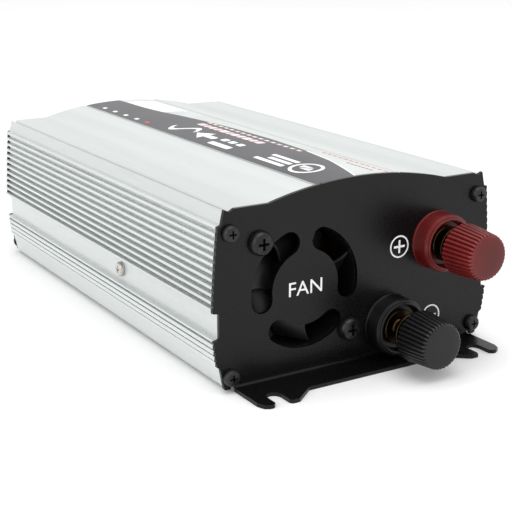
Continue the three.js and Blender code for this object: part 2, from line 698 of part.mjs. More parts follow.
// A battery lead from the stud's ring terminal down to its pad on the board.
function batteryLead(x, z, padX) {
  const ringFrom = nutFront + studNut.thickness + fit;
  const hole = rodY(stud.radius + fit, ringFrom - 1, ringFrom + 2);
  const ring = cut(rodY(bush.radius - 1, ringFrom, ringFrom + 1), hole);
  const padY = board.fromFront + 8;
  const route = new THREE.CatmullRomCurve3([
    new THREE.Vector3(0, ringFrom + 0.5, stud.radius + fit + leadRadius),
    new THREE.Vector3(0, ringFrom + 5, stud.radius + fit + leadRadius + 1),
    new THREE.Vector3(padX - x, padY - 1, Math.max(boardTop + 10 - z, -8)),
    new THREE.Vector3(padX - x, padY, boardTop + fit - z),
  ]);
  const section = new THREE.Shape().absarc(0, 0, leadRadius, 0, 2 * Math.PI);
  const wire = new THREE.ExtrudeGeometry(section, { extrudePath: route, steps: 12, curveSegments: 5 });
  return join(ring, wire);
}

// ---------------------------------------------------------------- mains end, in the rear plate's own frame

const ledPlaces = [led.x, led.x + led.spread];

function contactHoles() {
  const cavity = (x, z, width, height) => box(x - width / 2, x + width / 2, -socket.bezel - 1, contact.depth,
    z - height / 2, z + height / 2);
  return [
    cavity(-contact.spread, contact.rise, contact.width, contact.height),
    cavity(contact.spread, contact.rise, contact.width, contact.height),
    cavity(0, contact.rise - contact.earthDrop, contact.earthWidth, contact.earthHeight),
  ];
}

// A bezel on the plate's outer face with a body through the plate.
function panelFitting({ width, height, bezel, depth }, inset) {
  return join(
    box(-width / 2, width / 2, -bezel, -seam, -height / 2, height / 2),
    box(-width / 2 + inset, width / 2 - inset, -bezel / 2, depth, -height / 2 + inset, height / 2 - inset));
}

function acSocket() {
  return cut(panelFitting(socket, socket.inset), ...contactHoles());
}

function switchHousing() {
  const { bezel, depth, face, long, pin } = rocker;
  return cut(panelFitting(rocker, bezel),
    box(-long / 2, long / 2, -bezel - 1, depth - 4, -face / 2, face / 2),
    rodZ(pin + fit, -face / 2 - 0.8, face / 2 + 0.8, 0, rocker.pinDepth, 12));
}

// The rocker lies along x and tilts about its pins along z, pressed in at its -x end; the pins are at y = 0.
function switchRocker() {
  const reach = rocker.long / 2 - running;
  const crest = rocker.bezel + rocker.pinDepth;
  const section = outline([
    [-reach + 0.6, -crest], [0, -crest + 0.9], [reach - 0.6, -crest], [reach - 1.4, 1.6],
    [1.6, 4.2], [-1.6, 4.2], [-reach + 1.4, 1.6],
  ]);
  const width = rocker.face - 2 * running;
  const reachOut = rocker.face / 2 + rocker.pinReach;
  return join(alongZ(section, -width / 2, width / 2), rodZ(rocker.pin, -reachOut, reachOut, 0, 0, 12))
    .rotateZ(-THREE.MathUtils.degToRad(rocker.tilt));
}

function statusLed() {
  const { radius, rim, length } = led;
  return turned([
    [0, -1.4], [radius * 0.6, -1.1], [radius, -0.3], [radius, plateThickness + fit],
    [rim, plateThickness + fit], [rim, plateThickness + fit + 1], [radius, plateThickness + fit + 1],
    [radius, length], [0, length],
  ], 12);
}

// ---------------------------------------------------------------- assembly

const look = (color, roughness, metalness) => ({ color, roughness, metalness });
const looks = {
  aluminium: look(0xd9dddc, 0.35, 0.9),
  plate: look(0x303032, 0.55, 0.3),
  label: look(0x47464c, 0.5, 0),
  blackScrew: look(0x1c1c1c, 0.4, 0.8),
  steel: look(0xb8b8b4, 0.3, 1),
  brass: look(0xc8a45a, 0.3, 1),
  red: look(0x7d1e1c, 0.35, 0),
  black: look(0x121212, 0.4, 0),
  board: look(0x2c6a3c, 0.6, 0),
  ferrite: look(0x3a3a3c, 0.8, 0),
  copper: look(0xb86b34, 0.4, 0.8),
  capacitor: look(0x20304a, 0.5, 0),
  orange: look(0xd86a20, 0.5, 0),
  green: look(0x35c04a, 0.3, 0),
  redLamp: look(0xd03028, 0.3, 0),
};

const inverter = new THREE.Group();
inverter.position.y = -(rearmost - foremost) / 2;       // the origin lies under the middle of the whole

function place(parent, name, geometry, kind, x = 0, y = 0, z = 0) {
  const mesh = new THREE.Mesh(geometry, new THREE.MeshStandardMaterial(looks[kind]));
  mesh.name = name;
  mesh.position.set(x, y, z);
  parent.add(mesh);
  return mesh;
}

const rearEnd = new THREE.Group();                      // the mains end looks the other way
rearEnd.position.y = plateToPlate;
rearEnd.rotation.z = Math.PI;
inverter.add(rearEnd);

place(inverter, 'lower_tray', lowerTray(), 'aluminium');
place(inverter, 'top_cover', topCover(), 'aluminium');
place(inverter, 'top_label', topLabel(), 'label');
place(inverter, 'front_end_plate', frontEndPlate(), 'plate');
place(rearEnd, 'rear_end_plate', rearEndPlate(), 'plate');

const cornerScrew = panScrew(plateScrew);
const corners = [screwHigh, plateScrew.height].flatMap((z) => [[-screwX, z], [screwX, z]]);
corners.forEach(([x, z], i) => {
  place(inverter, `front_plate_screw_${i + 1}`, cornerScrew, 'blackScrew', x, 0, z);
  place(rearEnd, `rear_plate_screw_${i + 1}`, cornerScrew, 'blackScrew', x, 0, z);
});
fanHoles.forEach(([x, z], i) => {
  place(inverter, `fan_screw_${i + 1}`, panScrew(fanScrew), 'blackScrew', x, 0, z);
});
for (const [side, name] of [[-1, 'left'], [1, 'right']]) {
  const screw = place(inverter, `side_screw_${name}`, panScrew(sideScrew), 'steel',
    side * bandX, sideScrew.fromFront, sideScrew.height);
  screw.rotation.z = (side * Math.PI) / 2;
}

place(inverter, 'fan_frame', fanFrame(), 'black', fanX, 0, fanZ);
place(inverter, 'fan_rotor', fanRotor(), 'black', fanX, 0, fanZ);

for (const [name, kind, x, z, knobAt, padX] of [
  ['red', 'red', redX, redZ, redTerminal.knobAt, redX - 2],
  ['black', 'black', blackX, blackZ, blackTerminal.knobAt, blackX],
]) {
  place(inverter, `${name}_terminal_collar`, terminalCollar(), kind, x, 0, z);
  place(inverter, `${name}_terminal_stud`, terminalStud(), 'brass', x, 0, z);
  place(inverter, `${name}_terminal_bush`, terminalBush(), kind, x, 0, z);
  place(inverter, `${name}_terminal_nut`, terminalNut(), 'brass', x, 0, z);
  place(inverter, `${name}_terminal_clamp_washer`, terminalClampWasher(), 'brass', x, -knobAt, z);
  place(inverter, `${name}_terminal_knob`, terminalKnob(), kind, x, -knobAt, z);
  place(inverter, `${name}_battery_lead`, batteryLead(x, z, padX), kind, x, 0, z);
}

place(inverter, 'circuit_board', circuitBoard(), 'board');
place(inverter, 'transformer_1', transformerBody(), 'ferrite', 0, firstTransformerRow, seatZ);
place(inverter, 'transformer_2', transformerBody(), 'ferrite', 0, secondTransformerRow, seatZ);
place(inverter, 'filter_choke', chokeBody(), 'copper', chokeX, chokeRow, seatZ);
[-1, 1].forEach((side, i) => {
  place(inverter, `input_capacitor_${i + 1}`, capacitorBody(inputCapacitor), 'capacitor',
    inputCapacitor.x + side * inputCapacitor.apart / 2, inputRow, seatZ);
  place(inverter, `output_capacitor_${i + 1}`, capacitorBody(outputCapacitor), 'capacitor',
    side * outputCapacitor.apart / 2, outputRow, seatZ);
  place(inverter, `fuse_${i + 1}`, fuseBody(), 'orange',
    fuse.x, firstTransformerRow + (side * fuse.apart) / 2, seatZ);
});
place(inverter, 'control_card', box(-controlCard.thickness / 2, controlCard.thickness / 2,
  -controlCard.length / 2, controlCard.length / 2, 0, controlCard.height), 'board',
  controlCard.x, secondTransformerRow, seatZ);

const transistorZ = sideScrew.height - transistor.body / 2;
const bank = (transistor.perSide - 1) / 2;
for (const [side, name] of [[1, 'right'], [-1, 'left']]) {
  const wall = new THREE.Group();                       // looks inwards from one flank
  wall.position.set(side * (innerWall - fit), sideScrew.fromFront, 0);
  wall.rotation.z = side > 0 ? Math.PI : 0;
  inverter.add(wall);
  for (let i = 0; i < transistor.perSide; i += 1) {
    place(wall, `transistor_${name}_${i + 1}`, transistorBody(transistorZ - boardTop - 0.1), 'ferrite',
      0, (i - bank) * transistor.pitch, transistorZ);
  }
  place(wall, `transistor_clamp_${name}`, clampBarBody(), 'steel', transistor.depth + fit, 0, sideScrew.height);
}

place(rearEnd, 'ac_socket', acSocket(), 'black', socket.x, 0, socket.z);
place(rearEnd, 'switch_housing', switchHousing(), 'black', rocker.x, 0, rocker.z);
place(rearEnd, 'switch_rocker', switchRocker(), 'red', rocker.x, rocker.pinDepth, rocker.z);
place(rearEnd, 'power_led', statusLed(), 'green', ledPlaces[0], 0, led.z);
place(rearEnd, 'fault_led', statusLed(), 'redLamp', ledPlaces[1], 0, led.z);

export default inverter;
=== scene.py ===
# Power inverter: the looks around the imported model.
# Metres, +Z up. The battery end faces -Y, the mains end faces +Y, and the flanges stand on z = 0.
import math

import bpy
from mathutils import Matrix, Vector


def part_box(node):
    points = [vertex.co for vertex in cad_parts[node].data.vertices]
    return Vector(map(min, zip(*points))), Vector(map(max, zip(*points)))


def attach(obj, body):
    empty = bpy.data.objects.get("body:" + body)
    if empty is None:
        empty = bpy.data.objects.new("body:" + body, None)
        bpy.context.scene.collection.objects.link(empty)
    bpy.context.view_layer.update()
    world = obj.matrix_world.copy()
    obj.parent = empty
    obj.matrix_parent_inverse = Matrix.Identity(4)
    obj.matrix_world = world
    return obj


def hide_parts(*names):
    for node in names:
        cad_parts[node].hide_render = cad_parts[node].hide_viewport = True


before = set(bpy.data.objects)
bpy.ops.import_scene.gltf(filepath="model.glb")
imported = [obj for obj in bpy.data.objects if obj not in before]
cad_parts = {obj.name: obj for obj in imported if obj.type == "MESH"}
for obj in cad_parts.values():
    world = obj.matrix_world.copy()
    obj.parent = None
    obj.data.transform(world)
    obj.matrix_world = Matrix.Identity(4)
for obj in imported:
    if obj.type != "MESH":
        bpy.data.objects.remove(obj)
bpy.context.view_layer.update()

MM = 0.001
FORWARD, BACKWARD = Vector((0, -1, 0)), Vector((0, 1, 0))      # out of the battery end, out of the mains end
LEFT, RIGHT = Vector((-1, 0, 0)), Vector((1, 0, 0))
PLATE_THICKNESS = 1.2 * MM
WELD = 0.0005 * MM                        # points closer than this are one


# ---------------------------------------------------------------- selecting and making

def deselect():
    if bpy.context.object and bpy.context.object.mode != "OBJECT":
        bpy.ops.object.mode_set(mode="OBJECT")
    bpy.ops.object.select_all(action="DESELECT")


def choose(*pieces):
    deselect()
    for piece in pieces:
        piece.select_set(True)
    bpy.context.view_layer.objects.active = pieces[0]
    return pieces[0]


def work_on(piece):
    choose(piece)
    bpy.ops.object.mode_set(mode="EDIT")
    bpy.ops.mesh.select_mode(type="VERT")
    bpy.ops.mesh.select_all(action="SELECT")


def leave():
    bpy.ops.object.mode_set(mode="OBJECT")


def pick(piece, kind, wanted):
    """Selects the points, edges or faces of a piece that pass a test, and stays in edit mode."""
    bpy.ops.object.mode_set(mode="EDIT")
    bpy.ops.mesh.select_mode(type="VERT")
    bpy.ops.mesh.select_all(action="DESELECT")
    bpy.ops.mesh.select_mode(type={"vertices": "VERT", "edges": "EDGE", "polygons": "FACE"}[kind])
    bpy.ops.object.mode_set(mode="OBJECT")
    for part in getattr(piece.data, kind):
        part.select = wanted(part)
    bpy.ops.object.mode_set(mode="EDIT")


def edge_ends(piece, edge):
    return [piece.data.vertices[i].co for i in edge.vertices]


def settle(piece):
    """Puts the object's place into its mesh."""
    choose(piece)
    bpy.ops.object.transform_apply(location=True, rotation=True, scale=True)
    return piece


def clean(piece, smooth=35):
    work_on(piece)
    bpy.ops.mesh.remove_doubles(threshold=WELD)
    bpy.ops.mesh.select_all(action="SELECT")
    bpy.ops.mesh.normals_make_consistent(inside=False)
    leave()
    bpy.ops.object.shade_smooth_by_angle(angle=math.radians(smooth))
    return piece


def apply(piece, kind, **settings):
    choose(piece)
    modifier = piece.modifiers.new(kind.lower(), kind)
    for key, value in settings.items():
        setattr(modifier, key, value)
    bpy.ops.object.modifier_apply(modifier=modifier.name)
    return piece


def round_edges(piece, radius, segments=2, angle=32, smooth=35):
    apply(piece, "BEVEL", width=radius * MM, segments=segments, limit_method="ANGLE",
          angle_limit=math.radians(angle), use_clamp_overlap=True)
    choose(piece)
    bpy.ops.object.shade_smooth_by_angle(angle=math.radians(smooth))
    return piece


def join(name, *pieces):
    choose(*pieces)
    if len(pieces) > 1:
        bpy.ops.object.join()
    pieces[0].name = name
    return pieces[0]


def copy_of(piece, name, turn=(0, 0, 0), place=(0, 0, 0)):
    twin = piece.copy()
    twin.data = piece.data.copy()
    twin.name = name
    bpy.context.scene.collection.objects.link(twin)
    twin.rotation_euler = turn
    twin.location = place
    return settle(twin)


def discard(*pieces):
    for piece in pieces:
        bpy.data.objects.remove(piece)


def added(name):
    piece = bpy.context.object
    piece.name = name
    return settle(piece)


def block(name, low, high):
    """A box between two corners in millimetres, ready to be shaped."""
    deselect()
    middle = [(a + b) / 2 * MM for a, b in zip(low, high)]
    bpy.ops.mesh.primitive_cube_add(size=1, location=middle)
    bpy.context.object.scale = [(b - a) * MM for a, b in zip(low, high)]
    return added(name)


def turned(name, centre, profile, sides, out=FORWARD, smooth=35):
    """A profile of (radius, height) in millimetres turned about an axis; heights grow towards out."""
    radius, height = profile[0]
    deselect()
    bpy.ops.mesh.primitive_circle_add(
        vertices=sides, radius=radius * MM, location=centre + out * height * MM,
        rotation=out.to_track_quat("Z", "Y").to_euler(),
        fill_type="NOTHING" if profile[0] == profile[-1] else "NGON")
    piece = added(name)
    work_on(piece)
    for next_radius, next_height in profile[1:]:
        bpy.ops.mesh.extrude_region_move(
            TRANSFORM_OT_translate={"value": tuple(out * (next_height - height) * MM)})
        growth = next_radius / radius
        bpy.ops.transform.resize(value=[1 if abs(along) > 0.5 else growth for along in out],
                                 center_override=centre + out * next_height * MM)
        radius, height = next_radius, next_height
    leave()
    return clean(piece, smooth)


def thread(radius, start, end, pitch=1.0, depth=0.35):
    """Profile points of a threaded stretch, from one height to another."""
    turns = max(1, round(abs(end - start) / pitch))
    step = (end - start) / turns
    points = []
    for i in range(turns):
        points += [(radius, start + step * (i + 0.15)), (radius, start + step * (i + 0.35)),
                   (radius - depth, start + step * (i + 0.75)), (radius - depth, start + step * (i + 0.9))]
    return points


def softened(node, name, radius, segments=2, smooth=12):
    """A CAD node's shape with its flat faces whole and its edges rounded."""
    piece = bpy.data.objects.new(name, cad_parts[node].data.copy())
    bpy.context.scene.collection.objects.link(piece)
    work_on(piece)
    bpy.ops.mesh.remove_doubles(threshold=WELD)
    bpy.ops.mesh.select_all(action="SELECT")
    bpy.ops.mesh.dissolve_limited(angle_limit=math.radians(0.4))
    leave()
    bpy.ops.mesh.customdata_custom_splitnormals_clear()
    return round_edges(piece, radius, segments, smooth=smooth)


# ---------------------------------------------------------------- finishes

def shade(red, green, blue):
    """Linear colour of a shade given in steps of 0 to 255."""
    def linear(step):
        level = step / 255
        return level / 12.92 if level <= 0.04045 else ((level + 0.055) / 1.055) ** 2.4
    return linear(red), linear(green), linear(blue), 1


def finish(name, dark, light, rough, patch=30, grain=2500, stretch=(1, 1, 1), speck=0.15, relief=0.1,
           depth=0.02, wear_and_highlight=None, **sockets):
    """A surface whose tone drifts between two shades, with a fine grain in its tone, gloss and relief."""
    material = bpy.data.materials.new(name)
    material.use_nodes = True
    nodes, links = material.node_tree.nodes, material.node_tree.links
    shader = nodes["Principled BSDF"]

    def node(kind, inputs=None, **settings):
        made = nodes.new("ShaderNode" + kind)
        for key, value in settings.items():
            setattr(made, key, value)
        for key, value in (inputs or {}).items():
            if isinstance(value, bpy.types.NodeSocket):
                links.new(value, made.inputs[key])
            else:
                made.inputs[key].default_value = value
        return made

    place = node("TexCoord").outputs["Object"]
    drawn = node("Mapping", {"Vector": place, "Scale": stretch}).outputs["Vector"]
    patches = node("TexNoise", {"Vector": drawn, "Scale": patch, "Detail": 4}).outputs["Fac"]
    grains = node("TexNoise", {"Vector": drawn, "Scale": grain, "Detail": 3}).outputs["Fac"]
    drift = node("MapRange", {"Value": patches, "From Min": 0.32, "From Max": 0.68}).outputs["Result"]
    tone = node("Mix", {"Factor": drift, "A": dark, "B": light}, data_type="RGBA")
    tone_input = {"Factor": speck, "A": tone.outputs[2], "B": grains}
    colour = node("Mix", tone_input, data_type="RGBA", blend_type="SOFT_LIGHT").outputs[2]
    # Sharp convex edges, found by pointiness and broken up by the patches, take a paler edge tone: edge
    # wear, and on the red plastic a painted highlight.
    if wear_and_highlight:
        edges = node("NewGeometry").outputs["Pointiness"]
        pale_edge_mask = node("MapRange", {"Value": edges, "From Min": 0.51, "From Max": 0.58}).outputs["Result"]
        broken = node("Math", {0: pale_edge_mask, 1: patches}, operation="MULTIPLY").outputs["Value"]
        colour = node("Mix", {"Factor": broken, "A": colour, "B": wear_and_highlight}, data_type="RGBA").outputs[2]
    gloss = node("MapRange", {"Value": grains, "From Min": 0.3, "From Max": 0.7,
                              "To Min": rough[0], "To Max": rough[1]}).outputs["Result"]
    bump = node("Bump", {"Height": grains, "Strength": relief, "Distance": depth * MM}).outputs["Normal"]
    links.new(colour, shader.inputs["Base Color"])
    links.new(gloss, shader.inputs["Roughness"])
    links.new(bump, shader.inputs["Normal"])
    for key, value in sockets.items():
        shader.inputs[key.replace("_", " ")].default_value = value
    return material


ALONG_CASE = (1, 0.03, 1)                 # the die's lines run along the extrusions
anodised = finish("anodised_aluminium", shade(197, 201, 200), shade(213, 217, 216), (0.34, 0.48), patch=60,
                  grain=3200, stretch=ALONG_CASE, speck=0.2, relief=0.25, depth=0.012, Metallic=0.45)
powder_coat = finish("black_powder_coat", shade(7, 7, 8), shade(11, 11, 12), (0.24, 0.36), patch=35,
                     grain=1600, speck=0.2, relief=0.25, depth=0.04, Specular_IOR_Level=0.24)
black_zinc = finish("black_zinc", shade(16, 16, 17), shade(26, 26, 26), (0.22, 0.36), patch=400, grain=5000,
                    wear_and_highlight=shade(52, 51, 50), Metallic=0.5)
matt_black_steel = finish("matt_black_steel", shade(12, 12, 13), shade(20, 20, 21), (0.36, 0.5), patch=400,
                          grain=5000, wear_and_highlight=shade(44, 44, 45), Metallic=0.2)
nickel = finish("nickel_plate", shade(176, 172, 166), shade(206, 203, 198), (0.18, 0.32), patch=300,
                grain=4000, Metallic=1)
# Brass toned dark: painted shade for the studs, washers and contacts, which stand in the shadowed dish
# behind each terminal knob.
brass = finish("brass_toned_for_painted_shade", shade(40, 32, 20), shade(70, 55, 34), (0.2, 0.34), patch=250, grain=4500,
               Metallic=1)
fan_plastic = finish("fan_plastic", shade(11, 11, 13), shade(17, 17, 19), (0.32, 0.45), patch=120,
                     grain=3000, Specular_IOR_Level=0.4)
# The red plastic's pale edge tone is a painted highlight on the crests of the knob flutes and other sharp
# edges.
red_plastic = finish("red_plastic", shade(78, 10, 10), shade(94, 14, 14), (0.28, 0.4), patch=90, grain=2600,
                     speck=0.12, relief=0.12, wear_and_highlight=shade(150, 58, 56), Specular_IOR_Level=0.34)
black_plastic = finish("black_plastic", shade(6, 6, 7), shade(10, 10, 11), (0.28, 0.4), patch=90,
                       grain=2600, wear_and_highlight=shade(48, 48, 50), Specular_IOR_Level=0.34)
silver_film = finish("silver_film", shade(190, 194, 192), shade(204, 208, 206), (0.4, 0.5), patch=50,
                     grain=4000)
dark_ink = finish("dark_ink", shade(58, 56, 62), shade(70, 68, 75), (0.34, 0.46), patch=40, grain=3600)
white_ink = finish("white_ink", shade(232, 232, 231), shade(246, 246, 245), (0.45, 0.6), patch=200,
                   grain=3000)
pink_ink = finish("pink_ink", shade(226, 206, 204), shade(244, 226, 224), (0.45, 0.6), patch=200,
                  grain=3000)
red_ink = finish("red_ink", shade(196, 62, 58), shade(216, 84, 78), (0.45, 0.6), patch=200, grain=3000)
grey_ink = finish("grey_ink", shade(96, 96, 100), shade(124, 124, 128), (0.45, 0.6), patch=200, grain=3000)
laminate = finish("board_laminate", shade(24, 70, 38), shade(36, 92, 50), (0.35, 0.5), patch=180,
                  grain=2200)
ferrite = finish("ferrite", shade(46, 46, 48), shade(62, 62, 64), (0.6, 0.8), patch=220, grain=3000,
                 relief=0.4)
copper = finish("enamelled_copper", shade(140, 70, 34), shade(186, 104, 58), (0.25, 0.4), patch=200,
                grain=1500, stretch=(4, 1, 1), Metallic=0.9)
sleeve = finish("capacitor_sleeve", shade(22, 30, 56), shade(30, 40, 72), (0.25, 0.38), patch=160,
                grain=2800)
fuse_body = finish("fuse_plastic", shade(204, 92, 26), shade(226, 118, 40), (0.2, 0.35), patch=160,
                   grain=2800)
resin = finish("transistor_resin", shade(30, 30, 31), shade(42, 42, 43), (0.5, 0.65), patch=260, grain=4200)
red_sleeve = finish("red_insulation", shade(150, 24, 20), shade(172, 34, 28), (0.35, 0.5), patch=160,
                    grain=2800)
black_sleeve = finish("black_insulation", shade(20, 20, 21), shade(32, 32, 33), (0.4, 0.55), patch=160,
                      grain=2800)
outlet_plastic = finish("outlet_plastic", shade(24, 24, 25), shade(33, 33, 34), (0.34, 0.48), patch=110,
                        grain=2600)
rocker_plastic = finish("rocker_plastic", shade(128, 20, 20), shade(148, 28, 26), (0.25, 0.38), patch=110,
                        grain=2600)
green_lens = finish("green_lens", shade(40, 150, 62), shade(60, 176, 82), (0.1, 0.2), patch=300, grain=3000,
                    Transmission_Weight=0.35)
red_lens = finish("red_lens", shade(186, 30, 28), shade(210, 46, 40), (0.1, 0.2), patch=300, grain=3000,
                  Transmission_Weight=0.35)


def fitted(piece, body, slot, material, *nodes):
    """A finished piece gets its material and body, and stands for the plain nodes named. Its slot argument
    is not used.
    """
    piece.data.materials.clear()
    piece.data.materials.append(material)
    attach(piece, body)
    if nodes:
        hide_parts(*nodes)
    return piece


def middle_of(node):
    low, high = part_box(node)
    return (low + high) / 2


front_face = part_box("front_end_plate")[1].y - PLATE_THICKNESS
rear_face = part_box("rear_end_plate")[0].y + PLATE_THICKNESS


# ---------------------------------------------------------------- case

fitted(softened("lower_tray", "case_tray", 0.16), "case", "extruded_aluminium", anodised, "lower_tray")
fitted(softened("top_cover", "case_lid", 0.2), "case", "extruded_aluminium", anodised, "top_cover")
fitted(softened("front_end_plate", "battery_end_panel", 0.2), "case", "plate_steel", powder_coat,
       "front_end_plate")
fitted(softened("rear_end_plate", "mains_end_panel", 0.2), "case", "plate_steel", powder_coat,
       "rear_end_plate")


# ---------------------------------------------------------------- flat prints

def bar(left, right, near, far):
    """A printed bar, drawn flat."""
    deselect()
    bpy.ops.mesh.primitive_plane_add(size=1, location=((left + right) / 2 * MM, (near + far) / 2 * MM, 0))
    bpy.context.object.scale = ((right - left) * MM, (far - near) * MM, 1)
    piece = added("bar")
    work_on(piece)
    bpy.ops.mesh.bevel(offset=min(right - left, far - near) * 0.2 * MM, segments=2, affect="VERTICES")
    leave()
    return piece


def ring(x, y, outer, inner, sides=56):
    """A printed ring, drawn flat."""
    deselect()
    bpy.ops.mesh.primitive_circle_add(vertices=sides, radius=outer * MM, location=(x * MM, y * MM, 0))
    piece = added("ring")
    work_on(piece)
    bpy.ops.mesh.extrude_region_move(TRANSFORM_OT_translate={"value": (0, 0, 0)})
    bpy.ops.transform.resize(value=(inner / outer,) * 3, center_override=(x * MM, y * MM, 0))
    leave()
    return piece


def pointer(x, y, radius, turn=0, narrow=1.0):
    """A printed triangle that points towards +y before it is turned."""
    deselect()
    bpy.ops.mesh.primitive_circle_add(vertices=3, radius=radius * MM, fill_type="NGON",
                                      location=(x * MM, y * MM, 0), rotation=(0, 0, math.radians(turn)))
    bpy.context.object.scale = (narrow, 1, 1)
    return added("pointer")


def strip(edges_at, near, far, rows, columns=1):
    """A printed area between two edges that wander along y; edges_at(y) gives their x."""
    deselect()
    bpy.ops.mesh.primitive_grid_add(x_subdivisions=columns, y_subdivisions=rows, size=1)
    piece = bpy.context.object
    piece.scale = (1 * MM, (far - near) * MM, 1)
    piece.location = (0, (near + far) / 2 * MM, 0)
    added("strip")
    for i in range(rows + 1):
        y = near + (far - near) * i / rows
        left, right = edges_at(y)
        pick(piece, "vertices", lambda point: abs(point.co.y - y * MM) < 0.01 * MM)
        bpy.ops.transform.resize(value=(right - left, 1, 1), center_override=(0, y * MM, 0))
        bpy.ops.transform.translate(value=((left + right) / 2 * MM, 0, 0))
    leave()
    return piece


def thickened(piece, thickness=0.06):
    """A flat print becomes a closed film; its underside sinks a little way into what it lies on."""
    work_on(piece)
    bpy.ops.mesh.normals_make_consistent(inside=False)
    leave()
    apply(piece, "SOLIDIFY", thickness=thickness * MM, offset=0)
    return clean(piece, 30)


def stood_on_front(name, *flats):
    """Prints drawn in x and z are stood up on the battery end's plate."""
    piece = join(name, *flats)
    piece.rotation_euler = (math.radians(90), 0, 0)
    piece.location = (0, front_face, 0)
    return thickened(settle(piece))


fan_middle = middle_of("fan_frame")
deselect()
bpy.ops.object.text_add()
lettering = bpy.context.object
lettering.data.body = "FAN"
lettering.data.align_x, lettering.data.align_y = "CENTER", "CENTER"
bpy.ops.object.convert(target="MESH")
size = lettering.dimensions
lettering.scale = (11.8 * MM / size.x, 4.3 * MM / size.y, 1)
settle(lettering)
centre = (Vector(lettering.bound_box[0]) + Vector(lettering.bound_box[6])) / 2
lettering.location = (fan_middle.x - centre.x, fan_middle.z - centre.y, 0)
settle(lettering)
work_on(lettering)
bpy.ops.mesh.remove_doubles(threshold=0.001 * MM)
leave()
fitted(stood_on_front("fan_lettering", lettering), "case", "plate_steel", white_ink)

PLUS, MINUS = (14.9, 35.2), (28.6, 10.3)
SIGN, STROKE, RING = 2.1, 0.35, (3.6, 3.1)          # half length, half width, outer and inner radius
ARM_GAP = 0.01                            # between the bars of the plus sign
fitted(stood_on_front("plus_sign", ring(*PLUS, *RING),
                      bar(PLUS[0] - SIGN, PLUS[0] + SIGN, PLUS[1] - STROKE, PLUS[1] + STROKE),
                      bar(PLUS[0] - STROKE, PLUS[0] + STROKE, PLUS[1] + STROKE + ARM_GAP, PLUS[1] + SIGN),
                      bar(PLUS[0] - STROKE, PLUS[0] + STROKE, PLUS[1] - SIGN, PLUS[1] - STROKE - ARM_GAP)),
       "case", "plate_steel", white_ink)
fitted(stood_on_front("minus_sign", ring(*MINUS, *RING),
                      bar(MINUS[0] - SIGN, MINUS[0] + SIGN, MINUS[1] - STROKE, MINUS[1] + STROKE)),
       "case", "plate_steel", white_ink)


# ---------------------------------------------------------------- label on the lid

film = softened("top_label", "label_film", 0.04)
fitted(film, "case", "label_film", silver_film, "top_label")

LABEL_LEFT, LABEL_NEAR, LABEL_FAR = -14.7, -78.9, 88.9
DARK_EDGE = ((-79, -0.9), (-70, 2), (-56, 6), (-35.5, 8.9), (-14, 9.8), (8.6, 9), (25.3, 7.2), (42.8, 4.3),
             (54.4, 1.7), (67, 0.4), (89, -0.2))


def dark_edge(y):
    """Where the dark part of the label ends, at a distance along the case."""
    for (y0, x0), (y1, x1) in zip(DARK_EDGE, DARK_EDGE[1:]):
        if y <= y1:
            share = max(0, (y - y0) / (y1 - y0))
            return x0 + (x1 - x0) * share
    return DARK_EDGE[-1][1]


def laid_on_label(name, material, lift, *flats):
    """Prints drawn flat are laid over the label's curve."""
    piece = join(name, *flats)
    work_on(piece)
    bpy.ops.transform.translate(value=(0, 0, 0.1))
    for x in range(-12, 14, 3):
        bpy.ops.mesh.select_all(action="SELECT")
        bpy.ops.mesh.bisect(plane_co=(x * MM, 0, 0), plane_no=(1, 0, 0))
    leave()
    apply(piece, "SHRINKWRAP", target=film, wrap_method="PROJECT", use_project_z=True,
          use_positive_direction=False, use_negative_direction=True)
    work_on(piece)
    bpy.ops.transform.translate(value=(0, 0, lift * MM))
    leave()
    return fitted(thickened(piece, 0.04), "case", "label_film", material)


def wave(y):
    x = -6.9 + 3.6 * math.sin((y - 10.6) / 15.5 * 2 * math.pi)
    return x - 1.1, x + 1.1


laid_on_label("label_dark_field", dark_ink, 0.03,
              strip(lambda y: (LABEL_LEFT, dark_edge(y)), LABEL_NEAR, LABEL_FAR, 28, 8))
laid_on_label("label_pale_patch", white_ink, 0.03,
              strip(lambda y: (max(0.5, 2.3 - (y - 51.5) / 9), 13.3), 53.4, 82.6, 6, 4))
laid_on_label("label_white_marks", white_ink, 0.06,
              strip(lambda y: (dark_edge(y) - 0.3, dark_edge(y) + 0.35), LABEL_NEAR, -38.4, 12),
              ring(-6.6, -60.6, 5.8, 4.6), pointer(-7.2, -62, 3, 20, 0.55), pointer(-5.9, -59, 3, 200, 0.55),
              *[bar(x, x + 1.8, -53.2, far) for x, far in ((-11.4, -36.5), (-8.4, -40.4), (-5.4, -38))],
              bar(-12.1, -9.4, -20.7, -7), *[bar(-6.9, -4.2, y, y + 3.5) for y in (-20.7, -15.5, -10.4)],
              bar(-8.25, -5.65, -4.1, 2.8), pointer(-6.95, 4.6, 4.6),
              strip(wave, 10.6, 26.1, 24),
              *[bar(-12.8, -11.2, y, y + 2.5) for y in (75.7, 66, 56.3, 46.6)])
laid_on_label("label_pink_marks", pink_ink, 0.06,
              *[bar(0.4, 3.6, y, y + length) for y, length in
                ((-20.7, 3.4), (-16.3, 2.4), (-12.9, 4.1), (-7.9, 2.6), (-4.4, 3.5), (0, 2.2),
                 (3.1, 4.3), (8.4, 2.6), (11.9, 3.1), (16, 2.4), (19.3, 4))],
              *[bar(5.6, 7, y, y + 2.4) for y in range(-38, 24, 4)])
laid_on_label("label_red_marks", red_ink, 0.06,
              bar(-12.7, -11.1, 37.9, 40.4))
laid_on_label("label_red_line", red_ink, 0.03,
              *[bar(12.6, 13.3, y, y + 1.9) for y in range(-76, -40, 3)])
laid_on_label("label_grey_line", grey_ink, 0.03,
              *[bar(9.1, 9.8, y, y + 1.4) for y in range(-73, -60, 2)])


# ---------------------------------------------------------------- screws

SIDE_HEAD = 1.7                           # height of a flank screw's head


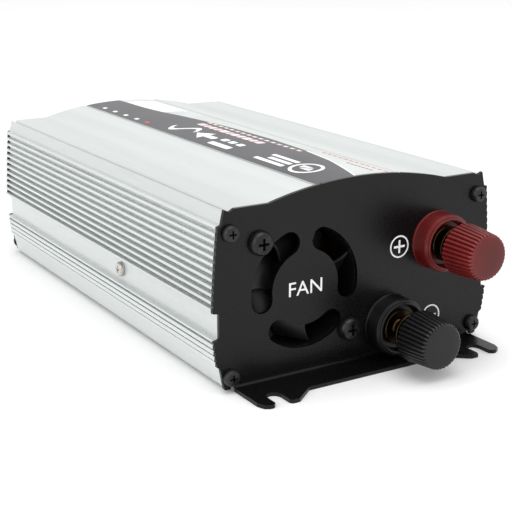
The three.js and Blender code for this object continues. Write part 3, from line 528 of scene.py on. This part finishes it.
def pan_screw(name, head, height, shank, length):
    """A cross-recess pan-head screw: its head sits on the origin and stands towards -y."""
    screw = turned(name, Vector(), [
        (head * 0.3, height), (head * 0.6, height * 0.985), (head * 0.8, height * 0.9),
        (head * 0.92, height * 0.7), (head * 0.985, height * 0.4), (head, height * 0.12),
        (head * 0.97, 0.01), (shank, 0),
        *thread(shank, -0.4, -length + 1), (shank * 0.6, -length)], 28)
    reach, width, depth = head * 0.52, head * 0.12, height * 0.62
    for across, up in ((reach, width), (width, reach)):
        arm = block("recess_arm", (-across, -height - 0.3, -up), (across, -height + depth, up))
        pick(arm, "polygons", lambda face: face.normal.y > 0.9)
        bpy.ops.transform.resize(value=(0.5, 1, 0.5))
        leave()
        apply(screw, "BOOLEAN", operation="DIFFERENCE", solver="EXACT", object=arm)
        discard(arm)
    return clean(screw, 30)


def screwed_in(master, node, out, name, slot, material):
    """A copy of a screw in the place of a CAD node, with its head towards out."""
    low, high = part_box(node)
    place = (low + high) / 2
    if out in (FORWARD, BACKWARD):
        place.y = front_face if out == FORWARD else rear_face
    else:
        place.x = out.x * (max(abs(low.x), abs(high.x)) - SIDE_HEAD * MM)
    turn = (0, 0, math.atan2(out.x, -out.y))
    fitted(copy_of(master, name, turn, place), "case", slot, material, node)


corner_screw = pan_screw("corner_screw", 2.65, 2, 1.5, 9)
for end, out in (("front", FORWARD), ("rear", BACKWARD)):
    for i in range(1, 5):
        screwed_in(corner_screw, f"{end}_plate_screw_{i}", out, f"{end}_corner_screw_{i}",
                   "black_screw_steel", matt_black_steel)
fan_fixing = pan_screw("fan_fixing", 3.8, 2.5, 2, 9)
for i in (1, 2):
    screwed_in(fan_fixing, f"fan_screw_{i}", FORWARD, f"fan_fixing_{i}", "black_screw_steel", black_zinc)
flank_screw = pan_screw("flank_screw", 2.5, SIDE_HEAD, 1.25, 8)
for side, out in (("left", LEFT), ("right", RIGHT)):
    screwed_in(flank_screw, f"side_screw_{side}", out, f"flank_screw_{side}", "bright_steel", nickel)
discard(corner_screw, fan_fixing, flank_screw)


# ---------------------------------------------------------------- battery terminals

FLUTES, POINTS_PER_FLUTE, KNOB_LENGTH = 36, 4, 12


def fluted_knob(name, node):
    """A tapered knob with flutes open at both ends, a plain front face, and a neck and blind bore behind."""
    low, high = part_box(node)
    rear = (low + high) / 2
    rear.y = low.y + KNOB_LENGTH * MM
    sides = FLUTES * POINTS_PER_FLUTE
    knob = turned(name, rear, [
        (3, 12), (5.9, 11.96), (6.5, 11.86), (6.95, 11.6), (7.2, 11.2), (7.3, 10.8), (7.75, 6),
        (8.2, 1.1), (8.25, 0.5), (8.1, 0.14), (7.8, 0), (4.6, 0), (4.6, -2.4), (3.8, -2.4), (3.8, -3.6),
        (3.5, -3.6), (3.5, 9.4)], sides, smooth=28)
    step = 2 * math.pi / sides

    def flute_part(point):
        reach = math.hypot(point.co.x - rear.x, point.co.z - rear.z)
        turn = math.atan2(point.co.z - rear.z, point.co.x - rear.x)
        return reach, round(turn / step) % POINTS_PER_FLUTE

    for part, depth in ((2, 0.52), (1, 0.1), (3, 0.1)):
        def on_part(point):
            reach, at = flute_part(point)
            return at == part and reach > 6.8 * MM
        pick(knob, "vertices", on_part)
        bpy.ops.transform.resize(value=(1 - depth / 7.8, 1, 1 - depth / 7.8), center_override=rear)
    leave()
    choose(knob)
    bpy.ops.object.shade_smooth_by_angle(angle=math.radians(28))
    return knob


for tint, plastic in (("red", red_plastic), ("black", black_plastic)):
    node = f"{tint}_terminal_"
    slot = f"{tint}_plastic"
    seat = middle_of(node + "collar")
    seat.y = front_face
    collar = turned(f"{tint}_collar", seat, [
        (3.3, 4.6), (6.5, 4.6), (6.9, 4.72), (7.15, 5.1), (7.6, 7.0), (7.8, 7.18), (8.1, 7.2),
        (8.3, 7.05), (8.35, 6.8), (8.45, 6.72), (8.75, 6.7), (8.9, 6.55), (8.92, 6.25), (9.0, 6.15),
        (9.15, 6.05), (9.22, 5.8), (9.24, 0.9), (9.3, 0.78), (9.4, 0.7), (9.4, 0.1), (4.6, 0.1),
        (4.6, -1.2), (3.3, -1.2), (3.3, 4.6)], 72, smooth=30)
    fitted(collar, "case", slot, plastic, node + "collar")
    fitted(fluted_knob(f"{tint}_fluted_knob", node + "knob"), f"{tint}_knob", slot, plastic, node + "knob")

    stud_low, stud_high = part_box(node + "stud")
    outside, inside = (front_face - stud_low.y) / MM, (front_face - stud_high.y) / MM
    post = turned(f"{tint}_threaded_post", seat, [
        (2.4, outside), (2.9, outside - 0.6), *thread(3, outside - 1, 6.2), (2.95, 5.9), (5.4, 5.9),
        (5.6, 5.7), (5.6, 4.8), (3, 4.7), (3, -6), *thread(3, -6.4, inside + 0.8), (2.4, inside)], 36)
    fitted(post, "case", "brass", brass, node + "stud")

    washer_low, washer_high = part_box(node + "clamp_washer")
    front, back = (front_face - washer_low.y) / MM, (front_face - washer_high.y) / MM
    washer = turned(f"{tint}_pressure_washer", seat, [
        (4.1, front), (5.9, front), (6.1, front - 0.06), (6.2, front - 0.2), (6.2, back + 0.25),
        (6.1, back + 0.08), (5.9, back), (4.3, back), (4.1, back + 0.2), (4.1, front)], 48)
    fitted(washer, f"{tint}_clamp", "brass", brass, node + "clamp_washer")


# ---------------------------------------------------------------- fan

fitted(softened("fan_frame", "fan_housing", 0.35), "case", "fan_plastic", fan_plastic, "fan_frame")

BLADES, BLADE_COLUMNS, BLADE_ROWS, BLADE_ROOT, BLADE_TIP = 7, 8, 4, 9.4, 18.2
BLADE_CHORD, BLADE_THICKNESS = 11, 0.9
ROOT_PITCH, PITCH_LOSS = 61, 8            # degrees at the hub, and how many fewer at the tip
TIP_LEAN, TIP_SWEEP = 0.9, 3.2
rotor_low, rotor_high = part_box("fan_rotor")
hub_front = Vector((fan_middle.x, rotor_low.y, fan_middle.z))
hub_depth = (rotor_high.y - rotor_low.y) / MM
hub = turned("fan_impeller", hub_front, [
    (4, 0), (8.6, 0), (9.3, -0.12), (9.8, -0.5), (10, -1), (10, -7.4), (1.5, -7.4), (1.5, -hub_depth)], 56)

deselect()
bpy.ops.mesh.primitive_grid_add(x_subdivisions=BLADE_COLUMNS, y_subdivisions=BLADE_ROWS, size=1)
blade = bpy.context.object
blade.scale = ((BLADE_TIP - BLADE_ROOT) * MM, BLADE_CHORD * MM, 1)
blade.location = ((BLADE_TIP + BLADE_ROOT) / 2 * MM, 0, 0)
added("blade")
for i in range(BLADE_COLUMNS + 1):
    share = i / BLADE_COLUMNS
    x = (BLADE_ROOT + (BLADE_TIP - BLADE_ROOT) * share) * MM
    pick(blade, "vertices", lambda point: abs(point.co.x - x) < 0.05 * MM)
    bpy.ops.transform.rotate(value=math.radians(ROOT_PITCH - PITCH_LOSS * share), orient_axis="X",
                             center_override=(x, 0, 0))
leave()
for i in range(BLADE_COLUMNS, -1, -1):
    share = i / BLADE_COLUMNS
    x = (BLADE_ROOT + (BLADE_TIP - BLADE_ROOT) * share) * MM
    pick(blade, "vertices", lambda point: abs(point.co.x - x) < 0.05 * MM)
    bpy.ops.transform.translate(value=(-TIP_LEAN * share * share * MM, 0, TIP_SWEEP * share * share * MM))
leave()
apply(blade, "SOLIDIFY", thickness=BLADE_THICKNESS * MM, offset=0)
round_edges(clean(blade), 0.2)
blades = [copy_of(blade, f"blade_{i}", (0, 2 * math.pi * i / BLADES, 0),
                  (fan_middle.x, rotor_low.y + 3.9 * MM, fan_middle.z)) for i in range(BLADES)]
discard(blade)
fitted(clean(join("fan_impeller", hub, *blades)), "fan", "fan_plastic", fan_plastic, "fan_rotor")


# ---------------------------------------------------------------- mains end

def panel_fitting(name, node, corner, bezel, rim):
    """A rounded bezel on the mains end's plate with a body behind it, as large as the CAD node."""
    low, high = (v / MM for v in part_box(node))
    face = rear_face / MM
    piece = block(name, (low.x, face + 0.1, low.z), (high.x, high.y, high.z))

    def along_depth(edge):
        start, end = edge_ends(piece, edge)
        return abs((start - end).y) > bezel / 2 * MM
    pick(piece, "edges", along_depth)
    bpy.ops.mesh.bevel(offset=corner * MM, segments=6)
    leave()
    pick(piece, "polygons", lambda part: part.normal.y < -0.9)
    bpy.ops.mesh.inset(thickness=rim * MM)
    bpy.ops.mesh.extrude_region_move(TRANSFORM_OT_translate={"value": (0, (low.y - face - 0.1) * MM, 0)})
    leave()
    top = high.y * MM
    pick(piece, "edges", lambda edge: all(abs(end.y - top) < 0.01 * MM for end in edge_ends(piece, edge)))
    bpy.ops.mesh.bevel(offset=0.5 * MM, segments=3)
    leave()
    return piece


def pocket(piece, low, high):
    """A blind opening in the mains face."""
    cutter = block("pocket", low, high)
    apply(piece, "BOOLEAN", operation="DIFFERENCE", solver="EXACT", object=cutter)
    discard(cutter)
    return piece


outlet = panel_fitting("mains_outlet", "ac_socket", 3, 2, 2)
outlet_low, outlet_high = (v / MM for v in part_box("ac_socket"))
outlet_x, outlet_z = (outlet_low.x + outlet_high.x) / 2, (outlet_low.z + outlet_high.z) / 2
face = rear_face / MM
pick(outlet, "polygons", lambda part: part.normal.y > 0.99 and part.center.y > rear_face)
bpy.ops.mesh.inset(thickness=2.2 * MM)
bpy.ops.mesh.extrude_region_move(TRANSFORM_OT_translate={"value": (0, -0.8 * MM, 0)})
bpy.ops.transform.resize(value=(0.985, 1, 0.985))
leave()
contacts = []
for x, z, width, height in ((-6.5, 5, 5.2, 8.4), (6.5, 5, 5.2, 8.4), (0, -3.4, 7, 5)):
    x0, z0 = outlet_x + x, outlet_z + z
    pocket(outlet, (x0 - width / 2, face - 14, z0 - height / 2), (x0 + width / 2, face + 3, z0 + height / 2))
    for side in (-1, 1):
        leaf = block("leaf", (x0 + side * (width / 2 - 0.5) - 0.25, face - 13.6, z0 - height / 2 + 0.8),
                     (x0 + side * (width / 2 - 0.5) + 0.25, face - 3.2, z0 + height / 2 - 0.8))
        work_on(leaf)
        bpy.ops.mesh.bisect(plane_co=(0, (face - 5) * MM, 0), plane_no=(0, 1, 0))
        leave()
        pick(leaf, "vertices", lambda point: abs(point.co.y - (face - 5) * MM) < 0.01 * MM)
        bpy.ops.transform.translate(value=(-side * 0.9 * MM, 0, 0))
        leave()
        contacts.append(round_edges(leaf, 0.08))
fitted(round_edges(clean(outlet), 0.25), "case", "socket_plastic", outlet_plastic, "ac_socket")
fitted(clean(join("outlet_contacts", *contacts)), "case", "brass", brass)

switch_low, switch_high = (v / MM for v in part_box("switch_housing"))
switch_x, switch_z = (switch_low.x + switch_high.x) / 2, (switch_low.z + switch_high.z) / 2
housing = panel_fitting("rocker_frame", "switch_housing", 1.6, 1.5, 1.5)
pocket(housing, (switch_x - 8.7, face - 10, switch_z - 4.7), (switch_x + 8.7, face + 3, switch_z + 4.7))
fitted(round_edges(clean(housing), 0.2), "case", "black_plastic", outlet_plastic, "switch_housing")

rocker = softened("switch_rocker", "rocker_paddle", 0.45, 3, smooth=35)
fitted(rocker, "power_switch", "rocker_plastic", rocker_plastic, "switch_rocker")

for node, name, slot, lens in (("power_led", "power_lamp", "green_lens", green_lens),
                               ("fault_led", "fault_lamp", "red_lens", red_lens)):
    seat = middle_of(node)
    seat.y = rear_face
    lamp = turned(name, seat, [
        (0.3, 1.4), (0.75, 1.3), (1.1, 1.08), (1.36, 0.72), (1.48, 0.3), (1.5, 0), (1.5, -1.5),
        (1.9, -1.5), (1.9, -2.5), (1.5, -2.5), (1.5, -8)], 32, out=BACKWARD)
    fitted(lamp, "case", slot, lens, node)


# ---------------------------------------------------------------- what stays as it is

plain = {
    "circuit_board": laminate, "control_card": laminate, "transformer_1": ferrite,
    "transformer_2": ferrite, "filter_choke": copper, "input_capacitor_1": sleeve,
    "input_capacitor_2": sleeve, "output_capacitor_1": sleeve, "output_capacitor_2": sleeve,
    "fuse_1": fuse_body, "fuse_2": fuse_body, "red_terminal_bush": red_plastic,
    "black_terminal_bush": black_plastic, "red_terminal_nut": brass, "black_terminal_nut": brass,
    "red_battery_lead": red_sleeve, "black_battery_lead": black_sleeve, "transistor_clamp_left": nickel,
    "transistor_clamp_right": nickel,
}
for side in ("left", "right"):
    for i in range(1, 5):
        plain[f"transistor_{side}_{i}"] = resin
for name, material in plain.items():
    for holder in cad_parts[name].material_slots:
        holder.material = material


# ---------------------------------------------------------------- studio

deselect()
bpy.ops.mesh.primitive_plane_add(size=8)
floor = bpy.context.object
floor.name = "studio_floor"
studio_white = finish("studio_white", shade(243, 243, 243), shade(246, 246, 246), (0.6, 0.7), patch=3,
                      grain=400, speck=0.02, relief=0.02)
floor.data.materials.append(studio_white)

scene = bpy.context.scene
scene.view_settings.view_transform = "Standard"
world = bpy.data.worlds.new("studio")
world.use_nodes = True
world.node_tree.nodes["Background"].inputs["Color"].default_value = (1, 1, 1, 1)
world.node_tree.nodes["Background"].inputs["Strength"].default_value = 1.0
scene.world = world


def softbox(name, place, aim, size, power):
    deselect()
    bpy.ops.object.light_add(type="AREA", location=place)
    light = bpy.context.object
    light.name = name
    light.data.size = size
    light.data.energy = power
    light.rotation_euler = (Vector(aim) - Vector(place)).to_track_quat("-Z", "Y").to_euler()


softbox("overhead", (0, -0.1, 1.1), (0, 0, 0), 1.0, 5.5)
softbox("left_side", (-1.1, -0.2, 0.5), (0, 0, 0.03), 0.8, 3)

deselect()
bpy.ops.object.camera_add(location=(-0.20629, -0.35842, 0.13689))
camera = bpy.context.object
camera.rotation_euler = Vector((0.49875, 0.81856, -0.28496)).to_track_quat("-Z", "Y").to_euler()
camera.data.sensor_width = 36
camera.data.lens = 83.243
camera.data.clip_start = 0.01
scene.camera = camera
